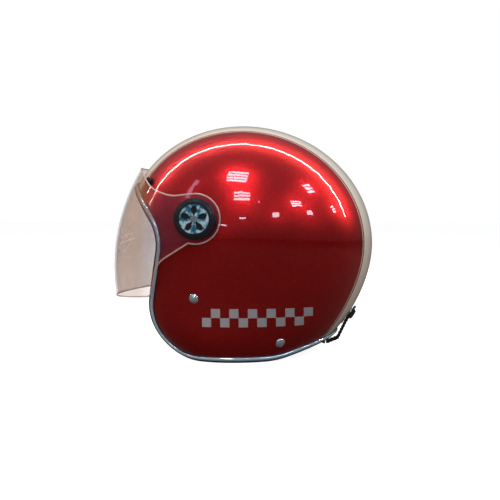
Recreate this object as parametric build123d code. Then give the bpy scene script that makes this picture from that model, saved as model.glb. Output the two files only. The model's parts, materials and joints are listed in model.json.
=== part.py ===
from build123d import *
import os
from math import cos, pi, radians, sin, sqrt

# Open face motorcycle helmet, in millimetres. The wearer looks towards -X, +Z is up,
# and the wearer's left is -Y. Everything is drawn about the head's centre and moved at
# the end, so that the finished helmet stands on Z = 0 with its box centred on X and Y.

# ---- Driving dimensions ------------------------------------------------------------

# The dome is a rounded body on a fore and aft axis that leans down to the rear.
half_length = 138.2
half_width = 116.0
crown_height = 123.2
skirt_depth = 150.0
dome_x = -6.3
dome_z = 12.2
dome_lean = radians(13.35)
crown_fullness = 0.12
skirt_fullness = 1.0

shell_thickness = 4.0
seam_gap = 0.3

# The rim in side view: brow line, face line and bottom line, joined by arcs.
brow_far = (-150.0, 101.2)
brow_corner = (-87.7, 19.9)
chin_corner = (-110.4, -107.5)
skirt_corner = (28.0, -107.5)
nape_far = (150.0, -72.0)
brow_radius = 50.0
chin_radius = 49.0
skirt_radius = 80.0
trim_width = 6.5
trim_lap = 4.5
lip_start = 4.0
chrome_start = 0.5
chrome_end = 3.9
chrome_outer = -2.6
channel_outer = -1.0
lip_outer = -2.2
rubber_inner = 5.2

# Lining, measured inwards from the outer surface.
liner_outer = shell_thickness + seam_gap
liner_inner = 31.0
fabric_inner = 37.0
pad_outer = 8.6
cheek_inner = 33.0
cheek_face_y = 62.0
roll_inner = 24.0
liner_side_z = -28.0
liner_rear_z = -66.0
pad_bottom_z = -98.0

# Visor pivots, one each side, on one line across the helmet.
pivot_x = -52.3
pivot_z = 35.0
ear_outer_y = 117.0
ear_radius = 25.3
visor_thickness = 2.0
visor_front_radius = 215.0
visor_front_x = -158.3
visor_front_z = -25.0
visor_side_radius = 200.0
visor_top_z = 89.0
sleeve_radius = 4.0
running_clearance = 0.05
cap_radius = 21.0
star_radius = 14.8
cap_inner_y = 117.5
cap_outer_y = 122.6

# Rivets that hold the chin strap, in side view.
front_rivet = (-55.6, -46.7)
rear_rivet = (32.5, -93.5)
rivet_head_radius = 5.0
rivet_shank_radius = 2.2

# Press studs at the brow for a peak.
brow_stud = (-107.2, 73.0)
stud_radius = 4.6
stud_height = 5.5
knob_radius = 3.4
knob_height = 2.6

# Thin posts of the brow studs, the snap and the tail rivet.
post_radius = 1.5
post_hole_radius = 1.55

# Chin strap and buckle.
strap_width = 20.0
strap_thickness = 1.4
strap_inset = 7.2
anchor_outer = 4.6
anchor_inner = 5.9
strap_x = -12.0
strap_top_z = -50.0
tongue_strap_end = 25.3
housing_strap_end = 13.8
buckle_length = 34.0
buckle_width = 25.0
buckle_height = 9.0

# Goggle strap retainer at the back.
retainer_width = 18.0
retainer_thickness = 1.8
retainer_fold = (80.5, -105.6)
retainer_snap_z = -71.5
tail_rivet_z = -81.0

# Moves the drawing to the finished frame.
to_frame = Location((13.45, 0.0, 114.0))


# ---- The dome ----------------------------------------------------------------------

def dome_point(inset, station, turn):
    """A point of the dome, drawn in by inset: station runs front to rear, turn around."""
    ring = sin(station)
    rise = sin(turn)
    height = crown_height if rise > 0 else skirt_depth
    fullness = crown_fullness * max(rise, 0) ** 2 + skirt_fullness * max(-rise, 0) ** 4
    along = -(half_length - inset) * cos(station)
    across = (half_width - inset) * ring * cos(turn) * (1 + fullness * ring**2)
    up = (height - inset) * ring * rise
    return Vector(
        dome_x + along * cos(dome_lean) + up * sin(dome_lean),
        across,
        dome_z - along * sin(dome_lean) + up * cos(dome_lean),
    )


def dome_side_y(inset, x, z):
    """How far out to the side the dome is, above the side view point x, z."""
    along = (x - dome_x) * cos(dome_lean) - (z - dome_z) * sin(dome_lean)
    up = (x - dome_x) * sin(dome_lean) + (z - dome_z) * cos(dome_lean)
    ring = sqrt(1 - (along / (half_length - inset)) ** 2)
    height = crown_height if up > 0 else skirt_depth
    rise = up / ((height - inset) * ring)
    fullness = crown_fullness * max(rise, 0) ** 2 + skirt_fullness * max(-rise, 0) ** 4
    return (half_width - inset) * ring * sqrt(1 - rise**2) * (1 + fullness * ring**2)


def dome_side_plane(inset, x, z, side):
    """A plane on the dome at a side view point, its Z axis pointing out of the dome."""
    step = 1.0
    slope_x = (dome_side_y(inset, x + step, z) - dome_side_y(inset, x - step, z)) / (2 * step)
    slope_z = (dome_side_y(inset, x, z + step) - dome_side_y(inset, x, z - step)) / (2 * step)
    outward = Vector(-slope_x, side, -slope_z)
    return Plane(origin=(x, side * dome_side_y(inset, x, z), z), x_dir=(0, 0, 1), z_dir=outward)


def dome(inset):
    """The solid inside the dome, lofted through rings from the front pole to the rear."""
    ring_points = 28
    turns = [2 * pi * i / ring_points - pi / 2 for i in range(ring_points)]
    knots = [i / ring_points for i in range(ring_points + 1)]
    stations = [2.5, 8, 16, 26, 38, 51, 64, 77, 90, 103, 116, 129, 142, 154, 164, 172, 177.5]
    rings = []
    for station in stations:
        points = [dome_point(inset, radians(station), turn) for turn in turns]
        rings.append(Wire([Edge.make_spline(points, periodic=True, parameters=knots)]))
    return Solid.make_loft(rings)


# ---- Outlines in side view, cut through the whole width ----------------------------

def side_prism(sketch, low_y=-150.0, high_y=150.0):
    """A side view sketch pushed across the helmet from low_y to high_y."""
    return extrude(Plane.XZ.offset(-high_y) * sketch, amount=high_y - low_y)


def rim_sketch(grow):
    """Everything above and behind the rim line, grown outwards by grow."""
    corners = (brow_far, brow_corner, chin_corner, skirt_corner, nape_far)
    normals = []
    for (x0, z0), (x1, z1) in zip(corners, corners[1:]):
        length = sqrt((x1 - x0) ** 2 + (z1 - z0) ** 2)
        normals.append(((z1 - z0) / length, (x0 - x1) / length))
    moved = []
    for i, (x, z) in enumerate(corners):
        before = normals[max(i - 1, 0)]
        after = normals[min(i, len(normals) - 1)]
        reach = grow / (1 + before[0] * after[0] + before[1] * after[1])
        moved.append((x + reach * (before[0] + after[0]), z + reach * (before[1] + after[1])))
    rim = FilletPolyline(
        moved, radius=(brow_radius - grow, chin_radius + grow, skirt_radius + grow)
    )
    roof = Polyline(moved[-1], (moved[-1][0], 200.0), (moved[0][0], 200.0), moved[0])
    return make_face([rim, roof])


def rim_band(start, end):
    """A band that follows the rim line, between two distances outside it."""
    return side_prism(rim_sketch(end) - rim_sketch(start))


def rounded_sketch(points, radius):
    """A closed outline with every corner rounded to the same radius."""
    return make_face(FilletPolyline(points, radius=radius, close=True))


def mirrored(shape):
    """The same piece for the wearer's right side."""
    return mirror(shape, about=Plane.XZ)


def standing(radius, height):
    """A cylinder that stands on its plane instead of being centred on it."""
    return Cylinder(radius, height, align=(Align.CENTER, Align.CENTER, Align.MIN))


def hanging(radius, height):
    """A cylinder that hangs below its plane."""
    return Cylinder(radius, height, align=(Align.CENTER, Align.CENTER, Align.MAX))


def side_cylinder(x, z, radius, inner_y, outer_y):
    """A round bar across the left side of the helmet, between two distances from the middle."""
    return Plane(origin=(x, -inner_y, z), z_dir=(0, -1, 0)) * standing(radius, outer_y - inner_y)


# ---- Shell and edge trim -----------------------------------------------------------

def make_rim_parts():
    """The outer shell with its holes, the black edge rubber and the chrome strip."""
    shell = (outer_dome & side_prism(rim_sketch(trim_lap))) - inner_dome
    for side in (-1, 1):
        for x, z in (front_rivet, rear_rivet):
            hole = dome_side_plane(0, x, z, side) * Cylinder(rivet_shank_radius + running_clearance, 16)
            shell = shell - hole
        shell = shell - dome_side_plane(0, *brow_stud, side) * Cylinder(post_hole_radius, 16)
    pivot_hole = side_cylinder(pivot_x, pivot_z, sleeve_radius + running_clearance, 90, 125)
    shell = shell - pivot_hole - mirrored(pivot_hole)
    for plane in (snap_plane, tail_plane):
        shell = shell - plane * Cylinder(post_hole_radius, 30)

    rubber_core = dome(rubber_inner)
    chrome = (dome(chrome_outer) - dome(channel_outer)) & rim_band(chrome_start, chrome_end)
    channel = (dome(channel_outer) - rubber_core) & rim_band(0.2, trim_width)
    lip = (dome(lip_outer) - rubber_core) & rim_band(lip_start, trim_width)
    rubber = (channel + lip) - shell - chrome
    return shell, rubber, chrome


# ---- Lining ------------------------------------------------------------------------

def liner_sketch(shrink, side_z, rear_z):
    """The rim outline drawn in, and cut short over the cheeks and the neck."""
    keep = rounded_sketch(
        [(-170, 190), (-170, side_z), (2, side_z), (2, rear_z), (170, rear_z), (170, 190)], 8.0
    )
    return rim_sketch(-shrink) & keep


def make_lining():
    """Impact liner, comfort lining, cheek pads and neck roll."""
    liner = (dome(liner_outer) & side_prism(liner_sketch(2.5, liner_side_z, liner_rear_z)))
    liner_core = dome(liner_inner)
    liner = liner - liner_core
    pocket = side_cylinder(pivot_x, pivot_z, 10.0, 98.0, 125)
    liner = liner - pocket - mirrored(pocket)
    for side in (-1, 1):
        liner = liner - dome_side_plane(0, *brow_stud, side) * Cylinder(4.2, 17)
    liner = liner - snap_plane * Cylinder(4.8, 16) - tail_plane * Cylinder(4.2, 20)

    crown = dome(liner_inner + seam_gap) & side_prism(liner_sketch(5.0, -24.0, -60.0))
    crown = crown - dome(fabric_inner)

    cheek_outline = rounded_sketch(
        [(-79, liner_side_z - 0.6), (0.5, liner_side_z - 0.6), (0.5, pad_bottom_z), (-90, pad_bottom_z)],
        12.0,
    )
    pad_shell = dome(pad_outer)
    cheek = (pad_shell & side_prism(cheek_outline, low_y=cheek_face_y)) - dome(cheek_inner)

    roll_outline = rim_sketch(-5.0) & rounded_sketch(
        [(3.5, liner_rear_z - 0.6), (170, liner_rear_z - 0.6), (170, pad_bottom_z), (3.5, pad_bottom_z)],
        5.0,
    )
    neck_hole = Pos(-5.0, 0, pad_bottom_z) * extrude(Ellipse(68.0, 76.0), 60.0, both=True)
    cheek = cheek - ribbon(strap_route(30.0), strap_width + 1.0, strap_thickness + 1.0, strap_x)
    roll = (pad_shell & side_prism(roll_outline)) - dome(roll_inner) - neck_hole
    roll = roll - tail_plane * Cylinder(4.2, 24)
    return liner, crown, cheek, roll


# ---- Visor and its pivots ----------------------------------------------------------

def visor_body(inset):
    """The solid behind the visor sheet, lofted through level half-oval sections."""
    sections = []
    for z in (-66.0, -40.0, -15.0, 10.0, pivot_z, 60.0, 80.0, 100.0):
        reach = sqrt(visor_front_radius**2 - (z - visor_front_z) ** 2)
        front_x = visor_front_x + visor_front_radius - reach + inset
        side_y = ear_outer_y - (z - pivot_z) ** 2 / (2 * visor_side_radius) - inset
        back_x = pivot_x + ear_radius + 6.0
        nose = EllipticalCenterArc(
            (pivot_x, 0), pivot_x - front_x, side_y, start_angle=90, arc_size=180
        )
        back = Polyline((pivot_x, side_y), (back_x, side_y), (back_x, -side_y), (pivot_x, -side_y))
        sections.append(Plane.XY.offset(z) * make_face([nose, back]))
    return loft(sections)


def make_visor():
    """A clear bubble sheet with a round ear at each pivot."""
    ear_top = pivot_z + ear_radius
    outline = FilletPolyline(
        (-200.0, visor_top_z), (-121.5, visor_top_z), (-99.0, 65.0), (-78.0, 57.8),
        (pivot_x, ear_top), (pivot_x, 12.5), (-94.0, -10.8), (-103.4, -46.5), (-200.0, -56.8),
        radius=(0, 9, 26, 30, 0, 0, 25, 6, 0),
        close=True,
    )
    window = make_face(outline) + Pos(pivot_x, pivot_z) * Circle(ear_radius)
    sheet = (visor_body(0) - visor_body(visor_thickness)) & side_prism(window)
    hole = side_cylinder(pivot_x, pivot_z, sleeve_radius + running_clearance, 90, 130)
    return sheet - hole - mirrored(hole)


def make_pivot():
    """The left pivot: boss, washer, cap, star plate, screw and the nut inside the shell."""
    boss = side_cylinder(pivot_x, pivot_z, 11.0, 95, 113.4) - outer_dome
    boss += side_cylinder(pivot_x, pivot_z, sleeve_radius, 101.2, cap_inner_y)
    boss = boss - side_cylinder(pivot_x, pivot_z, 2.6, 90, 125)
    washer = side_cylinder(pivot_x, pivot_z, 8.5, 113.4, 114.1)
    washer -= side_cylinder(pivot_x, pivot_z, sleeve_radius, 113, 115)

    cap_plane = Plane(origin=(pivot_x, -cap_inner_y, pivot_z), x_dir=(1, 0, 0), z_dir=(0, -1, 0))
    cap_height = cap_outer_y - cap_inner_y
    cap = cap_plane * loft([
        Circle(cap_radius), Pos(0, 0, cap_height * 0.45) * Circle(cap_radius),
        Pos(0, 0, cap_height) * Circle(star_radius + 2.4),
    ], ruled=True)
    cap -= cap_plane * Pos(0, 0, cap_height - 1.6) * standing(star_radius + 0.1, 10)
    cap -= cap_plane * Cylinder(2.65, 20)

    star = cap_plane * Pos(0, 0, cap_height - 1.6) * standing(star_radius, 2.4)
    petal = Pos(9.3, 0) * Ellipse(4.2, 3.0) + Pos(5.8, 0) * Ellipse(2.4, 1.3)
    for i in range(5):
        star -= cap_plane * Pos(0, 0, cap_height - 0.4) * extrude(Rot(0, 0, 90 + 72 * i) * petal, 3)
    star -= cap_plane * Cylinder(2.65, 20)

    head_base = cap_height + 0.8
    screw = cap_plane * Pos(0, 0, head_base) * standing(3.6, 1.5)
    screw += side_cylinder(pivot_x, pivot_z, 2.5, 99.0, cap_inner_y + head_base)
    screw -= cap_plane * Pos(0, 0, head_base + 1.2) * Rot(0, 0, 45) * Box(9, 1.3, 1.4)

    nut = (side_cylinder(pivot_x, pivot_z, 9.0, 98.6, 125) & inner_dome)
    nut -= side_cylinder(pivot_x, pivot_z, 2.55, 90, 130)
    nut -= side_cylinder(pivot_x, pivot_z, sleeve_radius + running_clearance, 101.0, 130)
    return {
        "pivot_boss": boss, "pivot_washer": washer, "pivot_cap": cap,
        "pivot_star": star, "pivot_screw": screw, "pivot_nut": nut,
    }


# ---- Small fittings ----------------------------------------------------------------

def make_rivet(x, z, side):
    """A domed rivet through the shell and the strap, with its washer inside."""
    plane = dome_side_plane(0, x, z, side)
    dome_rise = 2.4
    ball_radius = (rivet_head_radius**2 + dome_rise**2) / (2 * dome_rise)
    ball = Pos(0, 0, dome_rise - ball_radius) * Sphere(ball_radius)
    head = (plane * (ball & Pos(0, 0, 4) * Box(20, 20, 9))) - outer_dome
    shank = plane * Pos(0, 0, 0.3) * hanging(rivet_shank_radius, 8.0)
    washer = plane * Pos(0, 0, -6.6) * (Cylinder(5.5, 0.9) - Cylinder(rivet_shank_radius + 0.02, 2))
    return head + shank, washer


def make_brow_stud(side):
    """A black press stud at the brow, for a peak."""
    plane = dome_side_plane(0, *brow_stud, side)
    base = (plane * Pos(0, 0, 0.4) * Cylinder(stud_radius, 2.4)) - outer_dome
    tail_depth = 6.0
    post = plane * Pos(0, 0, -tail_depth) * standing(post_radius, tail_depth + stud_height - 1)
    knob = plane * Pos(0, 0, stud_height - knob_height) * standing(knob_radius, knob_height)
    tail = plane * Pos(0, 0, -tail_depth) * Cylinder(knob_radius, 1.3)
    return base + post + knob + tail


# ---- Chin strap and buckle ---------------------------------------------------------

def ribbon(path, width, thickness, middle_x):
    """A flat band, swept along a path in a plane across the helmet."""
    start = path @ 0
    section_plane = Plane(origin=start, x_dir=(1, 0, 0), z_dir=path % 0)
    return Pos(middle_x, 0, 0) * sweep(section_plane * Rectangle(width, thickness), path)


def strap_leg(rivet, foot_x):
    """One anchor leg of webbing, lying on the inside of the shell under its rivet."""
    x, z = rivet
    foot_z = -99.0
    spread = strap_width / 2 / cos(0.5)
    head = 8.0
    return make_face(Polyline(
        (x - head, z + head), (x + head, z + head), (foot_x + spread, foot_z), (foot_x - spread, foot_z),
        close=True,
    ))


def make_strap_anchor():
    """V of anchor webbing from the front and the rear rivet down to the strap."""
    legs = strap_leg(front_rivet, strap_x) + strap_leg(rear_rivet, strap_x)
    web = (dome(anchor_outer) & side_prism(legs, low_y=0.0)) - dome(anchor_inner)
    anchor = web.solids().sort_by(Axis.Y)[-1]
    for x, z in (front_rivet, rear_rivet):
        anchor = anchor - dome_side_plane(0, x, z, 1) * Cylinder(rivet_shank_radius + 0.02, 20)
    return anchor


def strap_route(end_y):
    """Middle line of half the chin strap: down the shell, under the cheek pad, up and across."""
    low_z = -105.5
    wall = strap_inset + strap_thickness / 2
    return FilletPolyline(
        (0, dome_side_y(wall, strap_x, -84.0), -84.0),
        (0, dome_side_y(wall, strap_x, -99.0) - 2.0, low_z),
        (0, 62.0, low_z), (0, 52.0, strap_top_z), (0, end_y, strap_top_z),
        radius=(5.0, 8.0, 14.0),
    )


def make_strap_half(end_y):
    """Half of the chin strap, from the anchor webbing to the buckle."""
    return ribbon(strap_route(end_y), strap_width, strap_thickness, strap_x)


def make_buckle():
    """Housing, tongue, release lever and lever pin, lying across the top of the strap arch."""
    centre = Pos(strap_x, 0, strap_top_z)
    flat = buckle_height / 2
    housing = fillet(Box(buckle_width, buckle_length, buckle_height).edges().filter_by(Axis.Y), 2.5)
    throat_height = 3.4
    throat = Pos(0, 10.0, 0) * Box(buckle_width - 6, buckle_length, throat_height)
    tail_slot = Pos(0, -buckle_length / 2, 0) * Box(strap_width + 0.6, 7.2, 2.0)
    well = Pos(0, -1.0, flat) * Box(buckle_width - 8, 20.0, 8.0)
    housing = housing - throat - tail_slot - well
    pin_at = Pos(0, -7.0, 3.0)
    housing = housing - pin_at * Rot(0, 90, 0) * Cylinder(1.25, buckle_width + 4)

    tongue = Pos(0, 9.0, 0) * Box(buckle_width - 7, 26.0, 1.8)
    tongue += Pos(0, 24.9, 0) * Box(buckle_width - 1.0, 14.2, 4.6)
    tongue -= Pos(0, 26.4, 0) * Box(strap_width + 0.6, 15.0, 1.7)
    for i in range(4):
        tongue -= Pos(0, 1.0 + 3.0 * i, 1.2) * Rot(30, 0, 0) * Box(12, 1.2, 1.6)

    lever = Pos(0, -1.0, 3.6) * Box(buckle_width - 8.8, 18.6, 2.2)
    lever += pin_at * Rot(0, 90, 0) * Cylinder(2.2, buckle_width - 8.8)
    lever -= pin_at * Rot(0, 90, 0) * Cylinder(1.25, buckle_width + 4)
    pin = pin_at * Rot(0, 90, 0) * Cylinder(1.2, buckle_width - 0.6)
    return [centre * piece for piece in (housing, tongue, lever, pin)]


# ---- Goggle strap retainer ---------------------------------------------------------

def rear_plane(inset, z):
    """A plane on the dome's rear line at height z, its Z axis pointing out."""
    low, high = radians(100), radians(177)
    turn = radians(-90)
    for _ in range(40):
        middle = (low + high) / 2
        if dome_point(inset, middle, turn).Z < z:
            low = middle
        else:
            high = middle
    here = dome_point(inset, low, turn)
    ahead = dome_point(inset, low + 0.01, turn) - here
    return Plane(origin=here, x_dir=(0, 1, 0), z_dir=Vector(0, 1, 0).cross(ahead))


def make_retainer():
    """Anchor tab inside the shell and the flap that folds up outside it."""
    fold = retainer_fold
    tab_line = [rear_plane(7.0, z).origin for z in (tail_rivet_z + 8.0, -88.0, -102.5)]
    tab_route = FilletPolyline(
        *((point.X, point.Z) for point in tab_line), (fold[0] - 1.3, fold[1] - 0.2),
        radius=(40.0, 3.0),
    )
    flap_route = FilletPolyline(
        fold, (93.4, -100.4),
        side_point(snap_plane, -9.0, 2.6), side_point(snap_plane, 10.0, 2.6),
        radius=(5.0, 20.0),
    )
    half = retainer_width / 2
    tab = extrude(Plane.XZ * trace(tab_route, retainer_thickness), half, both=True)
    flap = extrude(Plane.XZ * trace(flap_route, retainer_thickness), half, both=True)
    flap += side_cylinder(fold[0], fold[1], retainer_thickness / 2, -half, half)
    tab = tab - tail_plane * Cylinder(post_hole_radius, 30)
    return tab, flap - snap_plane * Cylinder(3.6, 12)


def side_point(plane, up, out):
    """Side view coordinates of a point on a rear plane: up along the shell and out from it."""
    point = plane.from_local_coords(Vector(0, up, out))
    return (point.X, point.Z)


def make_snap():
    """The stud riveted to the shell, the cap on the flap and the rivet of the anchor tab."""
    stud = (snap_plane * Pos(0, 0, 0.2) * Cylinder(5.5, 1.6)) - outer_dome
    stud += snap_plane * Pos(0, 0, -5.2) * standing(post_radius, 8.0)
    stud += snap_plane * Pos(0, 0, 1.0) * standing(2.8, 2.4)
    stud += (snap_plane * Pos(0, 0, -4.9) * Cylinder(4.0, 1.2)) & inner_dome
    cap_base = 2.6 + retainer_thickness / 2
    cap = snap_plane * Pos(0, 0, cap_base) * Cone(
        6.6, 5.0, 2.8, align=(Align.CENTER, Align.CENTER, Align.MIN)
    )
    cap += snap_plane * Pos(0, 0, cap_base - 1.4) * standing(3.55, 1.6)
    cap -= snap_plane * Cylinder(3.1, 2 * cap_base + 0.2)
    rivet = (tail_plane * Pos(0, 0, 0.4) * Cylinder(3.4, 1.6)) - outer_dome
    rivet += tail_plane * Pos(0, 0, 0.2) * hanging(post_radius, 9.5)
    rivet += tail_plane * Pos(0, 0, -9.1) * Cylinder(3.4, 1.2)
    return stud, cap, rivet


outer_dome = dome(0)
inner_dome = dome(shell_thickness)
snap_plane = rear_plane(0, retainer_snap_z)
tail_plane = rear_plane(0, tail_rivet_z)


def build():
    """Every sub-part by its name."""
    nodes = {}
    nodes["outer_shell"], nodes["edge_rubber"], nodes["edge_chrome"] = make_rim_parts()
    nodes["impact_liner"], nodes["comfort_lining"], cheek, nodes["neck_roll"] = make_lining()
    nodes["visor"] = make_visor()

    anchor = make_strap_anchor()
    for name, piece in {"cheek_pad": cheek, "strap_anchor": anchor}.items():
        nodes[f"{name}_right"] = piece
        nodes[f"{name}_left"] = mirrored(piece)
    for name, piece in make_pivot().items():
        nodes[f"{name}_left"] = piece
        nodes[f"{name}_right"] = mirrored(piece)

    rivets = [make_rivet(x, z, side) for x, z in (front_rivet, rear_rivet) for side in (-1, 1)]
    nodes["strap_rivets"] = Compound([rivet for rivet, washer in rivets])
    nodes["rivet_washers"] = Compound([washer for rivet, washer in rivets])
    nodes["brow_studs"] = Compound([make_brow_stud(side) for side in (-1, 1)])

    nodes["chin_strap_right"] = make_strap_half(tongue_strap_end)
    nodes["chin_strap_left"] = mirrored(make_strap_half(housing_strap_end))
    for name, piece in zip(("housing", "tongue", "lever", "pin"), make_buckle()):
        nodes[f"buckle_{name}"] = piece

    nodes["retainer_tab"], nodes["retainer_flap"] = make_retainer()
    nodes["snap_stud"], nodes["snap_cap"], nodes["tail_rivet"] = make_snap()
    return nodes


os.makedirs("parts", exist_ok=True)
for node_name, node_shape in build().items():
    export_step(to_frame * node_shape, f"parts/{node_name}.step")
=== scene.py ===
import json
import math

import bmesh
import bpy
import numpy as np
from mathutils import Matrix, Vector
from mathutils.bvhtree import BVHTree
from mathutils.kdtree import KDTree


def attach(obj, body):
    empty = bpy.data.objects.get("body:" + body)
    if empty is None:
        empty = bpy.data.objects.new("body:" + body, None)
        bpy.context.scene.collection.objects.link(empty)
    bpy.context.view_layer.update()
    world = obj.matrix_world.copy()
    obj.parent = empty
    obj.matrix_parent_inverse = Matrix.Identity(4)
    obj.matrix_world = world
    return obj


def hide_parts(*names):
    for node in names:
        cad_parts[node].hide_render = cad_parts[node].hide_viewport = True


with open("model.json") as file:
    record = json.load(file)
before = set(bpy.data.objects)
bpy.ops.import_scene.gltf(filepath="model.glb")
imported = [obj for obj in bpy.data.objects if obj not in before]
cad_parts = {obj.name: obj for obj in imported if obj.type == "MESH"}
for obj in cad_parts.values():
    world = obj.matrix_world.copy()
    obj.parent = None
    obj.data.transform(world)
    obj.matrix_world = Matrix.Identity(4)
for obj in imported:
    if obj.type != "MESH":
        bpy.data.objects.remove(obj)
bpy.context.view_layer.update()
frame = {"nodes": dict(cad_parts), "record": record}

# ---- Shared geometry -----------------------------------------------------------------
# The helmet's own drawing is in millimetres about the head's centre. at() turns a point
# of it into a place in the frame: metres, standing on the ground.

MM = 0.001
HEAD_CENTRE = Vector((0.01345, 0.0, 0.114))

HALF_LENGTH = 138.2
HALF_WIDTH = 116.0
CROWN_HEIGHT = 123.2
SKIRT_DEPTH = 150.0
DOME_X = -6.3
DOME_Z = 12.2
DOME_LEAN = math.radians(13.35)
CROWN_FULLNESS = 0.12
SKIRT_FULLNESS = 1.0

RIM_CORNERS = [(-150.0, 101.2), (-87.7, 19.9), (-110.4, -107.5), (28.0, -107.5), (150.0, -72.0)]
RIM_RADII = [50.0, 49.0, 80.0]


def at(x, y, z):
    """A point of the drawing, in millimetres, as a place in the frame."""
    return HEAD_CENTRE + Vector((x, y, z)) * MM


def dome_axes(x, z):
    """A side view offset or point, measured along the dome's leaning length and up from it."""
    cosine, sine = math.cos(DOME_LEAN), math.sin(DOME_LEAN)
    return x * cosine - z * sine, x * sine + z * cosine


def dome_side(inset, x, z):
    """Distance from the middle plane to the dome over side view point x, z, or None outside it."""
    along, up = dome_axes(x - DOME_X, z - DOME_Z)
    ring_squared = 1 - (along / (HALF_LENGTH - inset)) ** 2
    if ring_squared <= 0:
        return None
    height = CROWN_HEIGHT if up > 0 else SKIRT_DEPTH
    rise = up / ((height - inset) * math.sqrt(ring_squared))
    if abs(rise) >= 1:
        return None
    fullness = CROWN_FULLNESS * max(rise, 0) ** 2 + SKIRT_FULLNESS * max(-rise, 0) ** 4
    flat = (HALF_WIDTH - inset) * math.sqrt(ring_squared) * math.sqrt(1 - rise**2)
    return flat * (1 + fullness * ring_squared)


def dome_point(inset, station, turn):
    """A point of the dome in the drawing: station runs front to rear, turn goes round, 90 degrees up."""
    ring = math.sin(station)
    rise = math.sin(turn)
    height = CROWN_HEIGHT if rise > 0 else SKIRT_DEPTH
    fullness = CROWN_FULLNESS * max(rise, 0) ** 2 + SKIRT_FULLNESS * max(-rise, 0) ** 4
    along = -(HALF_LENGTH - inset) * math.cos(station)
    across = (HALF_WIDTH - inset) * ring * math.cos(turn) * (1 + fullness * ring**2)
    up = (height - inset) * ring * rise
    return Vector((
        DOME_X + along * math.cos(DOME_LEAN) + up * math.sin(DOME_LEAN),
        across,
        DOME_Z - along * math.sin(DOME_LEAN) + up * math.cos(DOME_LEAN),
    ))


def rounded_path(corners, radii, step):
    """Side view points along a path of straight runs whose inner corners are rounded."""
    path = [Vector(corners[0])]
    for before, corner, after, radius in zip(corners, corners[1:], corners[2:], radii):
        before, corner, after = Vector(before), Vector(corner), Vector(after)
        to_before = (before - corner).normalized()
        to_after = (after - corner).normalized()
        half = math.acos(to_before.dot(to_after)) / 2
        middle = corner + (to_before + to_after).normalized() * (radius / math.sin(half))
        start = corner + to_before * (radius / math.tan(half))
        end = corner + to_after * (radius / math.tan(half))
        sweep = math.pi - 2 * half
        count = max(int(radius * sweep / step), 4)
        first = start - middle
        turn = 1 if first.x * (end - middle).y - first.y * (end - middle).x > 0 else -1
        for i in range(count + 1):
            angle = turn * sweep * i / count
            cosine, sine = math.cos(angle), math.sin(angle)
            path.append(middle + Vector((
                first.x * cosine - first.y * sine, first.x * sine + first.y * cosine
            )))
    path.append(Vector(corners[-1]))
    return path


def rim_loop(spacing):
    """Evenly spaced points of the whole rim line on the dome, in the drawing."""
    path = rounded_path(RIM_CORNERS, RIM_RADII, 2.0)
    side = []
    for start, end in zip(path, path[1:]):
        count = max(int((end - start).length / 0.05), 1)
        for i in range(count):
            x, z = start.lerp(end, i / count)
            y = dome_side(0, x, z)
            if y is not None:
                side.append(Vector((x, y, z)))
    loop = side + [Vector((p.x, -p.y, p.z)) for p in reversed(side)]
    return even_loop(loop, spacing)


def even_loop(points, spacing):
    """A closed loop of points, moved along itself until they are evenly spaced."""
    ring = np.array([tuple(p) for p in points] + [tuple(points[0])])
    lengths = np.concatenate([[0], np.cumsum(np.linalg.norm(np.diff(ring, axis=0), axis=1))])
    count = int(lengths[-1] / spacing)
    wanted = np.arange(count) * lengths[-1] / count
    return [Vector([np.interp(w, lengths, ring[:, k]) for k in range(3)]) for w in wanted]


def dome_normal(point):
    """Direction out of the dome at a point of the drawing, from the slope of its inside test."""
    step = 0.5

    def level(x, y, z):
        """Grows from 0 at the dome's axis through 1 on its surface."""
        along, up = dome_axes(x - DOME_X, z - DOME_Z)
        height = CROWN_HEIGHT if up > 0 else SKIRT_DEPTH
        ring_squared = max(1 - (along / HALF_LENGTH) ** 2, 1e-6)
        rise = up / (height * math.sqrt(ring_squared))
        fullness = CROWN_FULLNESS if rise > 0 else SKIRT_FULLNESS
        power = 2 if rise > 0 else 4
        wide = 1 + fullness * min(abs(rise), 1) ** power * ring_squared
        return (along / HALF_LENGTH) ** 2 + (y / (HALF_WIDTH * wide)) ** 2 + (up / height) ** 2

    x, y, z = point
    return Vector((
        level(x + step, y, z) - level(x - step, y, z),
        level(x, y + step, z) - level(x, y - step, z),
        level(x, y, z + step) - level(x, y, z - step),
    )).normalized()


# ---- Mesh helpers --------------------------------------------------------------------

def add_mesh(name, vertices, faces, smooth=True):
    """A new object from vertices in frame metres."""
    mesh = bpy.data.meshes.new(name)
    mesh.from_pydata([tuple(v) for v in vertices], [], faces)
    mesh.validate()
    mesh.shade_smooth() if smooth else mesh.shade_flat()
    piece = bpy.data.objects.new(name, mesh)
    bpy.context.scene.collection.objects.link(piece)
    return piece


def face_outwards(piece):
    """Turns every face of a closed piece outwards."""
    shape = bmesh.new()
    shape.from_mesh(piece.data)
    bmesh.ops.recalc_face_normals(shape, faces=shape.faces)
    shape.to_mesh(piece.data)
    shape.free()


def sweep_loop(name, stations, profile):
    """A closed ring: the profile, points (across, out), carried round stations (point, across, out)."""
    vertices = []
    for point, across, out in stations:
        for b, n in profile:
            spot = point + across * b + out * n
            vertices.append(at(*spot))
    size = len(profile)
    total = len(stations)
    faces = []
    for i in range(total):
        for j in range(size):
            a = i * size + j
            b = i * size + (j + 1) % size
            c = ((i + 1) % total) * size + (j + 1) % size
            d = ((i + 1) % total) * size + j
            faces.append((a, b, c, d))
    piece = add_mesh(name, vertices, faces)
    face_outwards(piece)
    return piece


def dress(piece, body, material, slot_name, *nodes):
    """Gives a piece its material, the body it rides on and the CAD nodes it stands for."""
    piece.data.materials.clear()
    piece.data.materials.append(material)
    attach(piece, body)
    if nodes:
        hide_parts(*nodes)
    return piece


# ---- Material helpers ----------------------------------------------------------------

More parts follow.
